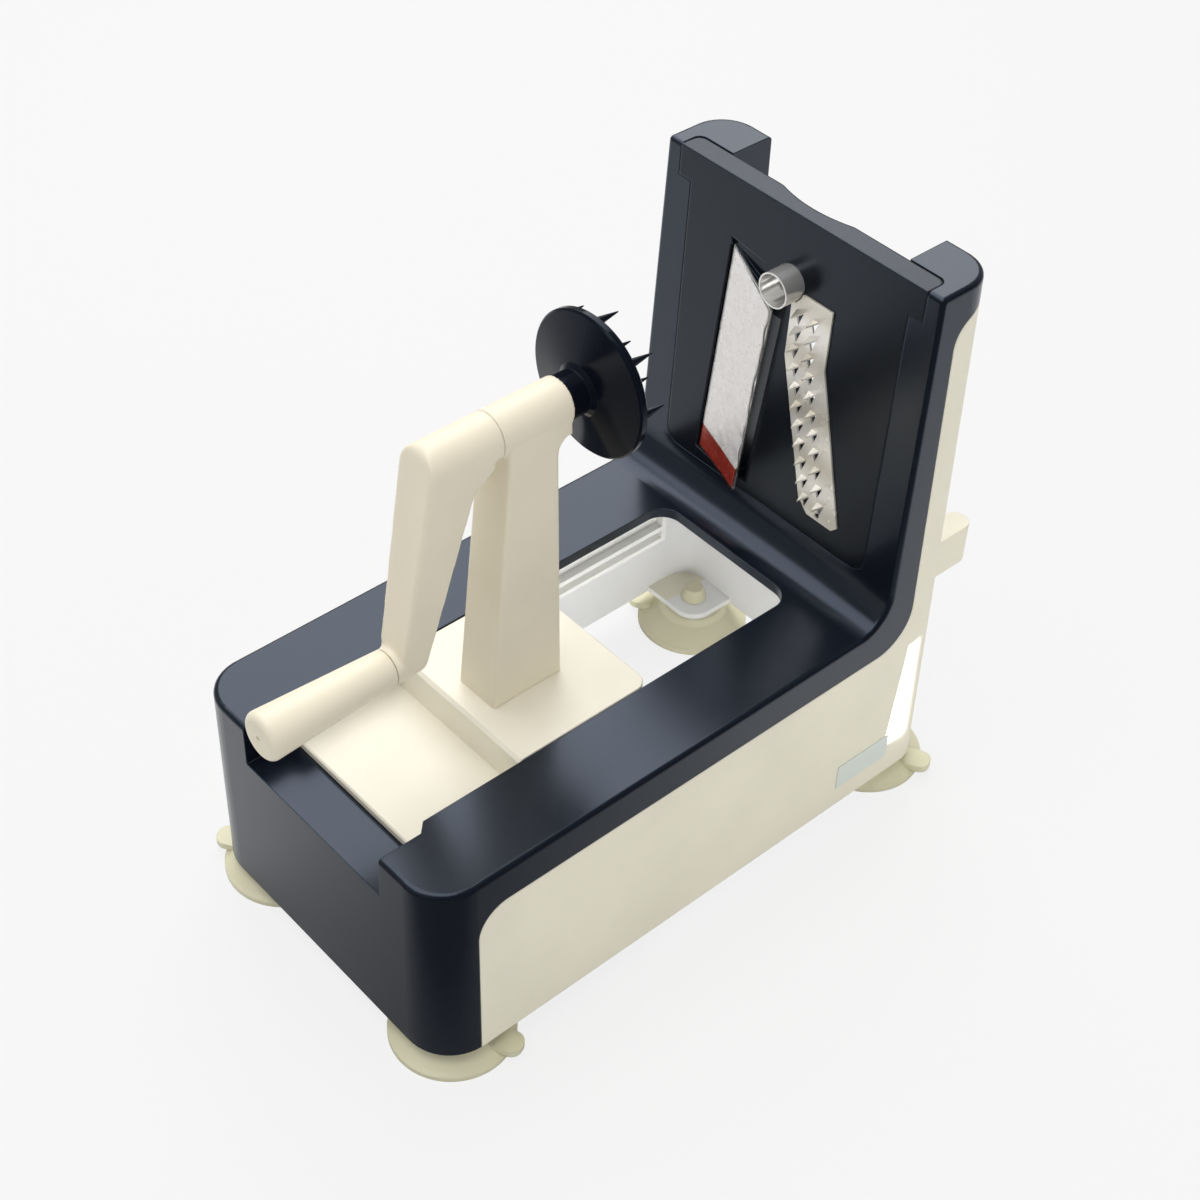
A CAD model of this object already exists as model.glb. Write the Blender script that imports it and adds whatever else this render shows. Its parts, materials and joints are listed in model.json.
import json
import math

import bmesh
import bpy
from mathutils import Matrix, Vector


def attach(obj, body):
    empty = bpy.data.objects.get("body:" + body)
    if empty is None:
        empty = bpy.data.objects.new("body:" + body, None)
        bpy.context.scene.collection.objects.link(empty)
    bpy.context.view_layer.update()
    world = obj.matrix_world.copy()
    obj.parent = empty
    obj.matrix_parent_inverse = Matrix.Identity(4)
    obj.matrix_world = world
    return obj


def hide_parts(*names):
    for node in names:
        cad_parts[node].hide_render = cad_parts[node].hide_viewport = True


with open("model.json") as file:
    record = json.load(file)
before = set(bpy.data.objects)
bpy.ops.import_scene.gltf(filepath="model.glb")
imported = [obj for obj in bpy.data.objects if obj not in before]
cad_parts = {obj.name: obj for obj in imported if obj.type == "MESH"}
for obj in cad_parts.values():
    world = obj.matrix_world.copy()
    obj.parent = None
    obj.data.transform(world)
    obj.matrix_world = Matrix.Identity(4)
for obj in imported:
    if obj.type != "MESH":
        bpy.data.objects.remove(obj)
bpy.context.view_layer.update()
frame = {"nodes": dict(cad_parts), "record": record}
NODES = frame["nodes"]
BODIES = frame["record"]["behaviour"]["bodies"]
BODY_OF = {name: body for body, names in BODIES.items() for name in names}

# Camera solved from the straight edges of the housing, in metres and degrees.
CAMERA_AT = Vector((-0.45471, -0.49624, 0.75374))
CAMERA_AZIMUTH = 43.034
CAMERA_ELEVATION = 42.761
CAMERA_ROLL = 2.453
CAMERA_LENS = 64.868
SENSOR = 36.0

GRAIN_SCALE = 2600.0
ROOM_FILL = 0.43
ROOM_NEAR = 0.10

# Underside of the deck, and half sizes of the shell's inside that is kept pale.
DECK_UNDER_Z = 0.1090
INSIDE_HALF_LENGTH = 0.150
INSIDE_HALF_WIDTH = 0.066
MASK_EDGE = 0.0004

# Depth of the steel's scratches and reach of its softened edges.
SCRATCH_DEPTH = 0.000004
STEEL_EDGE = 0.0003

# Post and arm: barrel axis, flare under the barrel and the seams that stay crisp.
AXIS_Z = 0.2463
BARREL_UNDER_Z = 0.2361
BARREL_SPAN = (-0.0511, -0.0192)
POST_REAR_X = -0.0254
POST_FOOT_Z = 0.1135
FLARE_RADIUS = 0.0068
FLARE_BITE = 0.0020
FLARE_HALF = 0.0097
FLARE_STEPS = 10
ARM_SEAM_X = -0.0538
GRIP_SEAM_X = -0.1028
SKIN_VOXEL = 0.00045
POST_ROUNDS = 14
ARM_ROUNDS = 26

# Film: height of its creases, share of its length that is red, and its grid.
FILM_LIFT = 0.0005
FILM_FOOT = 0.105
FILM_CELLS = (28, 96)
FILM_THICKNESS = 0.00012
FILM_STEADY = 0.12

# Floor: half side, share of plain backdrop that the camera sees, and start and end of the dark side.
FLOOR_HALF = 6.0
BACKDROP_SHARE = 0.86
DARK_SIDE = (0.04, 0.20)
DARK_SHARE = 0.95


def srgb(r, g, b):
    """Linear colour from 0-255 display values."""
    def line(v):
        v = v / 255
        return v / 12.92 if v <= 0.04045 else ((v + 0.055) / 1.055) ** 2.4
    return (line(r), line(g), line(b), 1.0)


# ---- node helpers --------------------------------------------------------------------------
def node(tree, kind, **values):
    """New shader node with attributes and input values set by name."""
    made = tree.nodes.new(kind)
    for key, value in values.items():
        if key in made.inputs:
            made.inputs[key].default_value = value
        else:
            setattr(made, key, value)
    return made


def blank(name):
    """Material with a bare Principled shader."""
    mat = bpy.data.materials.new(name)
    mat.use_nodes = True
    tree = mat.node_tree
    shader = tree.nodes["Principled BSDF"]
    return mat, tree, shader


def noise(tree, coords, scale, detail=3.0, rough=0.55):
    """Noise texture in object space; returns its factor socket."""
    tex = node(tree, "ShaderNodeTexNoise")
    tex.inputs["Scale"].default_value = scale
    tex.inputs["Detail"].default_value = detail
    tex.inputs["Roughness"].default_value = rough
    tree.links.new(coords, tex.inputs["Vector"])
    return tex.outputs["Fac"]


def remap(tree, socket, low, high, to_low, to_high):
    """Clamped linear remap of a value."""
    ranger = node(tree, "ShaderNodeMapRange")
    ranger.inputs["From Min"].default_value = low
    ranger.inputs["From Max"].default_value = high
    ranger.inputs["To Min"].default_value = to_low
    ranger.inputs["To Max"].default_value = to_high
    tree.links.new(socket, ranger.inputs["Value"])
    return ranger.outputs["Result"]


def multiply(tree, first, second):
    """Product of a value socket and a second socket or number."""
    product = node(tree, "ShaderNodeMath", operation="MULTIPLY")
    tree.links.new(first, product.inputs[0])
    if isinstance(second, float):
        product.inputs[1].default_value = second
    else:
        tree.links.new(second, product.inputs[1])
    return product.outputs[0]


def tune(mat, socket, value):
    """Sets one plain input of a material's Principled shader."""
    mat.node_tree.nodes["Principled BSDF"].inputs[socket].default_value = value


def blend_colours(tree, factor, first, second):
    """Colour mix driven by a factor; inputs are colours or sockets."""
    mix = node(tree, "ShaderNodeMix", data_type="RGBA")
    tree.links.new(factor, mix.inputs[0])
    for slot, value in ((6, first), (7, second)):
        if isinstance(value, tuple):
            mix.inputs[slot].default_value = value
        else:
            tree.links.new(value, mix.inputs[slot])
    return mix.outputs[2]


def edge_mask(tree, radius):
    """Near 1 on sharp edges and 0 on flats, from a rounded normal against the true one."""
    bevel = node(tree, "ShaderNodeBevel", samples=6)
    bevel.inputs["Radius"].default_value = radius
    geometry = node(tree, "ShaderNodeNewGeometry")
    dot = node(tree, "ShaderNodeVectorMath", operation="DOT_PRODUCT")
    tree.links.new(bevel.outputs["Normal"], dot.inputs[0])
    tree.links.new(geometry.outputs["Normal"], dot.inputs[1])
    return remap(tree, dot.outputs["Value"], 0.995, 0.80, 0.0, 1.0)


def moulded(name, colour, worn, rough, grain=0.00002, spread=0.05, edge=0.0006, tint=(1, 1, 1)):
    """Satin injection-moulded plastic: spark-eroded grain, faint mottling, rubbed edges."""
    mat, tree, shader = blank(name)
    coords = node(tree, "ShaderNodeTexCoord").outputs["Object"]
    cloud = noise(tree, coords, 22.0, 2.0)
    speck = noise(tree, coords, 420.0, 4.0, 0.7)
    darker = tuple(c * 0.955 for c in colour[:3]) + (1.0,)
    body = blend_colours(tree, remap(tree, cloud, 0.35, 0.65, 0.0, 1.0), darker, colour)
    patchy = multiply(tree, edge_mask(tree, edge), remap(tree, speck, 0.3, 0.7, 0.15, 0.6))
    tree.links.new(blend_colours(tree, patchy, body, worn), shader.inputs["Base Color"])
    gloss = remap(tree, speck, 0.25, 0.75, rough - spread, rough + spread)
    tree.links.new(gloss, shader.inputs["Roughness"])
    fine = noise(tree, coords, GRAIN_SCALE, 2.0, 0.6)
    bump = node(tree, "ShaderNodeBump")
    bump.inputs["Strength"].default_value = 1.0
    bump.inputs["Distance"].default_value = grain
    tree.links.new(fine, bump.inputs["Height"])
    soft = node(tree, "ShaderNodeBevel", samples=6)
    soft.inputs["Radius"].default_value = edge
    tree.links.new(soft.outputs["Normal"], bump.inputs["Normal"])
    tree.links.new(bump.outputs["Normal"], shader.inputs["Normal"])
    shader.inputs["IOR"].default_value = 1.5
    shader.inputs["Specular Tint"].default_value = (*tint, 1.0)
    return mat


def steel(name, colour, rough):
    """Satin steel with fine scratches."""
    mat, tree, shader = blank(name)
    coords = node(tree, "ShaderNodeTexCoord").outputs["Object"]
    lines = noise(tree, coords, 900.0, 4.0, 0.7)
    cloud = noise(tree, coords, 60.0, 2.0)
    darker = tuple(c * 0.88 for c in colour[:3]) + (1.0,)
    tree.links.new(blend_colours(tree, cloud, darker, colour), shader.inputs["Base Color"])
    tree.links.new(remap(tree, lines, 0.3, 0.7, rough * 0.7, rough * 1.5), shader.inputs["Roughness"])
    shader.inputs["Metallic"].default_value = 1.0
    bump = node(tree, "ShaderNodeBump")
    bump.inputs["Distance"].default_value = SCRATCH_DEPTH
    tree.links.new(lines, bump.inputs["Height"])
    soft = node(tree, "ShaderNodeBevel", samples=4)
    soft.inputs["Radius"].default_value = STEEL_EDGE
    tree.links.new(soft.outputs["Normal"], bump.inputs["Normal"])
    tree.links.new(bump.outputs["Normal"], shader.inputs["Normal"])
    return mat


COOL = (0.78, 0.92, 1.16)
NAVY = moulded("navy_plastic", srgb(15, 19, 29), srgb(74, 84, 100), 0.22, 0.000006, 0.02, 0.0007, COOL)
DISC = moulded("navy_disc", srgb(13, 16, 25), srgb(60, 68, 84), 0.15, 0.000004, 0.02, 0.0005, COOL)
NAVY_INSERT = moulded(
    "navy_insert", srgb(14, 17, 22), srgb(66, 74, 86), 0.24, 0.000006, 0.02, 0.0011, COOL)
CREAM = moulded("cream_plastic", srgb(240, 231, 208), srgb(250, 247, 238), 0.42)
CREAM_SLED = moulded("cream_sled", srgb(248, 242, 224), srgb(252, 250, 242), 0.40)
CREAM_RAIL = moulded("cream_rail", srgb(250, 250, 246), srgb(252, 251, 248), 0.42)
CREAM_PANEL = moulded("cream_panel", srgb(246, 241, 220), srgb(250, 247, 236), 0.45)
FOOT = moulded("foot_rubber", srgb(226, 222, 190), srgb(240, 238, 216), 0.38, edge=0.0009)
BADGE = moulded("badge_plate", srgb(226, 234, 226), srgb(236, 240, 236), 0.35, edge=0.0002)
BUSH = moulded("bush_white", srgb(222, 222, 216), srgb(235, 235, 230), 0.4)
BLADE = steel("blade_steel", srgb(246, 246, 243), 0.30)
TUBE = steel("tube_steel", srgb(232, 231, 228), 0.10)
SCREW = steel("screw_steel", srgb(150, 150, 152), 0.3)
tune(DISC, "Specular IOR Level", 0.16)
tune(NAVY_INSERT, "Specular IOR Level", 0.34)
tune(TUBE, "Metallic", 0.7)


def band_blade():
    """Toothed sheet: smooth warm steel with soft lighter and darker bands along its height."""
    mat, tree, shader = blank("toothed_steel")
    coords = node(tree, "ShaderNodeTexCoord").outputs["Object"]
    wave = node(tree, "ShaderNodeTexWave", bands_direction="Z")
    wave.inputs["Scale"].default_value = 13.0
    wave.inputs["Distortion"].default_value = 0.6
    wave.inputs["Detail"].default_value = 0.0
    tree.links.new(coords, wave.inputs["Vector"])
    tone = blend_colours(tree, wave.outputs["Fac"], srgb(222, 217, 204), srgb(254, 251, 244))
    tree.links.new(tone, shader.inputs["Base Color"])
    cloud = noise(tree, coords, 90.0, 2.0)
    tree.links.new(remap(tree, cloud, 0.3, 0.7, 0.20, 0.30), shader.inputs["Roughness"])
    shader.inputs["Metallic"].default_value = 0.45
    soft = node(tree, "ShaderNodeBevel", samples=4)
    soft.inputs["Radius"].default_value = STEEL_EDGE
    tree.links.new(soft.outputs["Normal"], shader.inputs["Normal"])
    return mat


def pale_inside(mat, colour):
    """Shell plastic that is paler near the middle of the shell and on faces that look inward."""
    tree = mat.node_tree
    shader = tree.nodes["Principled BSDF"]
    outer = shader.inputs["Base Color"].links[0].from_socket
    coords = node(tree, "ShaderNodeTexCoord")
    split = node(tree, "ShaderNodeSeparateXYZ")
    tree.links.new(coords.outputs["Object"], split.inputs[0])
    near = []
    for axis, limit in (("X", INSIDE_HALF_LENGTH), ("Y", INSIDE_HALF_WIDTH)):
        off = node(tree, "ShaderNodeMath", operation="ABSOLUTE")
        tree.links.new(split.outputs[axis], off.inputs[0])
        near.append(remap(tree, off.outputs[0], limit - MASK_EDGE, limit, 1.0, 0.0))
    flat = node(tree, "ShaderNodeVectorMath", operation="MULTIPLY")
    flat.inputs[1].default_value = (1.0, 1.0, 0.0)
    tree.links.new(coords.outputs["Object"], flat.inputs[0])
    facing = node(tree, "ShaderNodeVectorMath", operation="DOT_PRODUCT")
    tree.links.new(flat.outputs[0], facing.inputs[0])
    tree.links.new(coords.outputs["Normal"], facing.inputs[1])
    either = node(tree, "ShaderNodeMath", operation="MAXIMUM")
    tree.links.new(multiply(tree, near[0], near[1]), either.inputs[0])
    tree.links.new(remap(tree, facing.outputs["Value"], -0.010, -0.002, 1.0, 0.0), either.inputs[1])
    below = remap(tree, split.outputs["Z"], DECK_UNDER_Z, DECK_UNDER_Z + 0.001, 1.0, 0.0)
    mask = multiply(tree, either.outputs[0], below)
    tree.links.new(blend_colours(tree, mask, outer, colour), shader.inputs["Base Color"])


def dress(mat, *names):
    """Gives CAD nodes one material."""
    for name in names:
        mesh = NODES[name].data
        mesh.materials.clear()
        mesh.materials.append(mat)


dress(NAVY, "upper_housing")
dress(DISC, "prong_disc")
dress(NAVY_INSERT, "insert_plate")
dress(CREAM_PANEL, "base_shell")
dress(CREAM, "carriage_post", "crank_arm", "handle_grip")
dress(CREAM_SLED, "carriage_sled")
dress(CREAM_RAIL, "guide_rail_left", "guide_rail_right")
dress(FOOT, *[name for name in NODES if name.startswith("suction_foot")])
dress(BADGE, "side_badge")
dress(BUSH, "barrel_bushes")
dress(BLADE, "straight_blade")
dress(band_blade(), "toothed_blade")
pale_inside(CREAM_PANEL, srgb(252, 252, 252))
dress(TUBE, "coring_tube")
dress(SCREW, "housing_screws", "post_screws", "crank_shaft", "grip_spindle")


# ---- refined pieces ------------------------------------------------------------------------
def soft_copy(name, rounds, held, extra=None):
    """CAD node remeshed into one skin with extra forms joined, its free edges worn round."""
    mesh = bpy.data.meshes.new(name + "_soft")
    bm = bmesh.new()
    bm.from_mesh(NODES[name].data)
    if extra:
        extra(bm)
    bm.to_mesh(mesh)
    bm.free()
    piece = bpy.data.objects.new(name + "_soft", mesh)
    bpy.context.scene.collection.objects.link(piece)
    skin = piece.modifiers.new("skin", "REMESH")
    skin.mode = "VOXEL"
    skin.voxel_size = SKIN_VOXEL
    graph = bpy.context.evaluated_depsgraph_get()
    graph.update()
    dense = bpy.data.meshes.new_from_object(piece.evaluated_get(graph))
    piece.modifiers.clear()
    piece.data = dense
    bm = bmesh.new()
    bm.from_mesh(dense)
    free = [vertex for vertex in bm.verts if not held(vertex.co)]
    for _ in range(rounds):
        bmesh.ops.smooth_vert(
            bm, verts=free, factor=0.5, use_axis_x=True, use_axis_y=True, use_axis_z=True)
    bm.to_mesh(dense)
    bm.free()
    dense.shade_smooth()
    dense.materials.clear()
    dense.materials.append(CREAM)
    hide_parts(name)
    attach(piece, BODY_OF[name])


def add_prism(bm, points, half):
    """Closed prism through (x, z) points, centred on the middle plane."""
    rings = [[bm.verts.new((x, side * half, z)) for x, z in points] for side in (-1, 1)]
    count = len(points)
    bm.faces.new(rings[0])
    bm.faces.new(list(reversed(rings[1])))
    for i in range(count):
        j = (i + 1) % count
        bm.faces.new((rings[0][j], rings[0][i], rings[1][i], rings[1][j]))


def post_flare(bm):
    """Solid web that sweeps from the rear face of the post up into the barrel."""
    bend = BARREL_UNDER_Z - FLARE_RADIUS
    points = [(POST_REAR_X - FLARE_BITE, bend)]
    for i in range(FLARE_STEPS + 1):
        turn = math.pi / 2 * i / FLARE_STEPS
        x = POST_REAR_X + FLARE_RADIUS * (1 - math.cos(turn))
        points.append((x, bend + FLARE_RADIUS * math.sin(turn)))
    points.append((POST_REAR_X + FLARE_RADIUS, AXIS_Z))
    points.append((POST_REAR_X - FLARE_BITE, AXIS_Z))
    add_prism(bm, points, FLARE_HALF)
    bmesh.ops.recalc_face_normals(bm, faces=bm.faces)


def post_held(co):
    """Barrel ends and the foot of the post keep their true edges."""
    return co.z < POST_FOOT_Z or co.x < BARREL_SPAN[0] or co.x > BARREL_SPAN[1]


def arm_held(co):
    """The seam against the barrel and the seam against the grip keep their true edges."""
    return co.x > ARM_SEAM_X or co.x < GRIP_SEAM_X


soft_copy("carriage_post", POST_ROUNDS, post_held, post_flare)
soft_copy("crank_arm", ARM_ROUNDS, arm_held)


def film_corners():
    """Four corners of the film's outer face: low near, low far, high near, high far."""
    mesh = NODES["blade_film"].data
    outer = [face for face in mesh.polygons if face.normal.x < -0.8]
    found = {tuple(round(v, 6) for v in mesh.vertices[i].co) for face in outer for i in face.vertices}
    by_height = sorted(found, key=lambda co: co[2])
    low, high = by_height[:2], by_height[-2:]
    return [Vector(co) for pair in (low, high) for co in sorted(pair, key=lambda co: -co[1])]


def film_coat(name, pale, dark, rough):
    """Wrinkled blank film: pale, faintly metallic and glossy."""
    mat, tree, shader = blank(name)
    coords = node(tree, "ShaderNodeTexCoord").outputs["Object"]
    cloud = noise(tree, coords, 210.0, 4.0, 0.6)
    tree.links.new(blend_colours(tree, cloud, dark, pale), shader.inputs["Base Color"])
    tree.links.new(remap(tree, cloud, 0.3, 0.7, rough - 0.08, rough + 0.08), shader.inputs["Roughness"])
    shader.inputs["Metallic"].default_value = 0.25
    bump = node(tree, "ShaderNodeBump")
    bump.inputs["Distance"].default_value = 0.00025
    tree.links.new(noise(tree, coords, 120.0, 3.0, 0.6), bump.inputs["Height"])
    tree.links.new(bump.outputs["Normal"], shader.inputs["Normal"])
    return mat


def make_film():
    """Protective film as a thin creased sheet with a wavy free edge and a red foot."""
    low_near, low_far, high_near, high_far = film_corners()
    across, along = FILM_CELLS
    outward = (low_far - low_near).cross(high_near - low_near).normalized()
    if outward.x > 0:
        outward = -outward
    mesh = bpy.data.meshes.new("film_sheet")
    bm = bmesh.new()
    grid = []
    for j in range(along + 1):
        t = j / along
        row = []
        for i in range(across + 1):
            u = i / across
            free = u ** 4
            ripple = 0.012 * math.sin(19 * t) + 0.010 * math.sin(47 * t + 1)
            reach = u + free * ripple * (1 if t > FILM_STEADY else 0)
            place = low_near.lerp(low_far, reach).lerp(high_near.lerp(high_far, reach), t)
            crease = 0.5 + 0.5 * math.sin(9 * u + 31 * t) * math.sin(23 * t + 2 * u)
            lift = FILM_LIFT * crease * (0.25 + 0.75 * free)
            row.append(bm.verts.new(place + outward * lift))
        grid.append(row)
    for j in range(along):
        for i in range(across):
            corners = (grid[j][i], grid[j][i + 1], grid[j + 1][i + 1], grid[j + 1][i])
            face = bm.faces.new(corners)
            face.material_index = 1 if j < along * FILM_FOOT else 0
            face.smooth = True
    bm.to_mesh(mesh)
    bm.free()
    sheet = bpy.data.objects.new("film_sheet", mesh)
    bpy.context.scene.collection.objects.link(sheet)
    mesh.materials.append(film_coat("film_pale", srgb(250, 248, 247), srgb(222, 218, 216), 0.28))
    mesh.materials.append(film_coat("film_red", srgb(178, 62, 44), srgb(126, 34, 24), 0.24))
    wall = sheet.modifiers.new("thickness", "SOLIDIFY")
    wall.thickness = FILM_THICKNESS
    wall.offset = -1.0
    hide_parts("blade_film")
    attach(sheet, BODY_OF["blade_film"])


make_film()


# ---- stage ---------------------------------------------------------------------------------
def make_floor():
    """Plain pale table top that keeps the shadow of the object."""
    mesh = bpy.data.meshes.new("floor")
    bm = bmesh.new()
    bmesh.ops.create_grid(bm, x_segments=8, y_segments=8, size=FLOOR_HALF)
    bm.to_mesh(mesh)
    bm.free()
    floor = bpy.data.objects.new("floor", mesh)
    bpy.context.scene.collection.objects.link(floor)
    mat, tree, shader = blank("table")
    coords = node(tree, "ShaderNodeTexCoord").outputs["Object"]
    cloud = noise(tree, coords, 3.0, 2.0)
    pale = blend_colours(tree, cloud, (0.80, 0.80, 0.80, 1), (0.82, 0.82, 0.82, 1))
    tree.links.new(pale, shader.inputs["Base Color"])
    shader.inputs["Roughness"].default_value = 0.9
    shader.inputs["Specular IOR Level"].default_value = 0.1
    path = node(tree, "ShaderNodeLightPath")
    split = node(tree, "ShaderNodeSeparateXYZ")
    tree.links.new(coords, split.inputs[0])
    toward_x = multiply(tree, split.outputs["X"], -math.sin(math.radians(CAMERA_AZIMUTH)))
    toward = node(tree, "ShaderNodeMath", operation="MULTIPLY_ADD")
    tree.links.new(split.outputs["Y"], toward.inputs[0])
    toward.inputs[1].default_value = -math.cos(math.radians(CAMERA_AZIMUTH))
    tree.links.new(toward_x, toward.inputs[2])
    near_side = remap(tree, toward.outputs[0], *DARK_SIDE, 0.0, DARK_SHARE)
    shade = multiply(tree, path.outputs["Is Glossy Ray"], near_side)
    dark = node(tree, "ShaderNodeBsdfDiffuse", Color=(0.06, 0.065, 0.07, 1))
    table = node(tree, "ShaderNodeMixShader")
    tree.links.new(shade, table.inputs[0])
    tree.links.new(shader.outputs[0], table.inputs[1])
    tree.links.new(dark.outputs[0], table.inputs[2])
    white = node(tree, "ShaderNodeEmission", Color=srgb(247, 247, 247))
    seen = multiply(tree, path.outputs["Is Camera Ray"], BACKDROP_SHARE)
    final = node(tree, "ShaderNodeMixShader")
    tree.links.new(seen, final.inputs[0])
    tree.links.new(table.outputs[0], final.inputs[1])
    tree.links.new(white.outputs[0], final.inputs[2])
    tree.links.new(final.outputs[0], tree.nodes["Material Output"].inputs["Surface"])
    mesh.materials.append(mat)


def make_world():
    """Even pale surround, darker towards -Y in reflections."""
    world = bpy.data.worlds.new("surround")
    bpy.context.scene.world = world
    world.use_nodes = True
    tree = world.node_tree
    tree.nodes.clear()
    out = node(tree, "ShaderNodeOutputWorld")
    path = node(tree, "ShaderNodeLightPath")
    seen = node(tree, "ShaderNodeBackground")
    seen.inputs["Color"].default_value = srgb(247, 247, 247)
    fill = node(tree, "ShaderNodeBackground")
    fill.inputs["Color"].default_value = (1.0, 1.0, 1.0, 1.0)
    fill.inputs["Strength"].default_value = ROOM_FILL
    coords = node(tree, "ShaderNodeTexCoord").outputs["Generated"]
    split = node(tree, "ShaderNodeSeparateXYZ")
    tree.links.new(coords, split.inputs[0])
    side = remap(tree, split.outputs["Y"], -0.7, 0.1, ROOM_NEAR, ROOM_FILL)
    room = node(tree, "ShaderNodeBackground")
    tree.links.new(side, room.inputs["Strength"])
    lit = node(tree, "ShaderNodeMixShader")
    tree.links.new(path.outputs["Is Glossy Ray"], lit.inputs[0])
    tree.links.new(fill.outputs[0], lit.inputs[1])
    tree.links.new(room.outputs[0], lit.inputs[2])
    mix = node(tree, "ShaderNodeMixShader")
    tree.links.new(path.outputs["Is Camera Ray"], mix.inputs[0])
    tree.links.new(lit.outputs[0], mix.inputs[1])
    tree.links.new(seen.outputs[0], mix.inputs[2])
    tree.links.new(mix.outputs[0], out.inputs["Surface"])


def softbox(name, at, target, size, power, mirrored=True):
    """Rectangular lamp aimed at a point, left out of reflections unless mirrored."""
    lamp = bpy.data.lights.new(name, "AREA")
    lamp.shape = "RECTANGLE"
    lamp.size, lamp.size_y = size
    lamp.energy = power
    holder = bpy.data.objects.new(name, lamp)
    bpy.context.scene.collection.objects.link(holder)
    holder.location = at
    holder.rotation_euler = (Vector(target) - Vector(at)).to_track_quat("-Z", "Y").to_euler()
    holder.visible_glossy = mirrored


def make_camera():
    """Camera at the measured place with its small roll."""
    az, el, roll = (math.radians(v) for v in (CAMERA_AZIMUTH, CAMERA_ELEVATION, CAMERA_ROLL))
    ahead = Vector((math.sin(az) * math.cos(el), math.cos(az) * math.cos(el), -math.sin(el)))
    right = Vector((math.cos(az), -math.sin(az), 0))
    up = right.cross(ahead)
    cosine, sine = math.cos(roll), math.sin(roll)
    right, up = right * cosine + up * sine, up * cosine - right * sine
    camera = bpy.data.objects.new("camera", bpy.data.cameras.new("camera"))
    bpy.context.scene.collection.objects.link(camera)
    turn = Matrix((right, up, -ahead)).transposed().to_4x4()
    camera.matrix_world = Matrix.Translation(CAMERA_AT) @ turn
    camera.data.lens = CAMERA_LENS
    camera.data.sensor_width = SENSOR
    camera.data.sensor_fit = "HORIZONTAL"
    bpy.context.scene.camera = camera


make_floor()
make_world()
softbox("top_key", (-0.38, 0.30, 1.6), (0, 0, 0.1), (1.5, 1.5), 15.5)
softbox("back_window", (0.72, 0.92, 1.3), (0, 0, 0.1), (1.3, 1.1), 12.5)
softbox("side_fill", (0.1, -1.6, 0.75), (0, 0, 0.1), (1.6, 1.2), 5.5, mirrored=False)
softbox("inside_fill", (0.03, -0.070, 0.060), (0.05, 0.08, 0.055), (0.20, 0.06), 0.11, mirrored=False)
make_camera()
bpy.context.scene.view_settings.view_transform = "Standard"
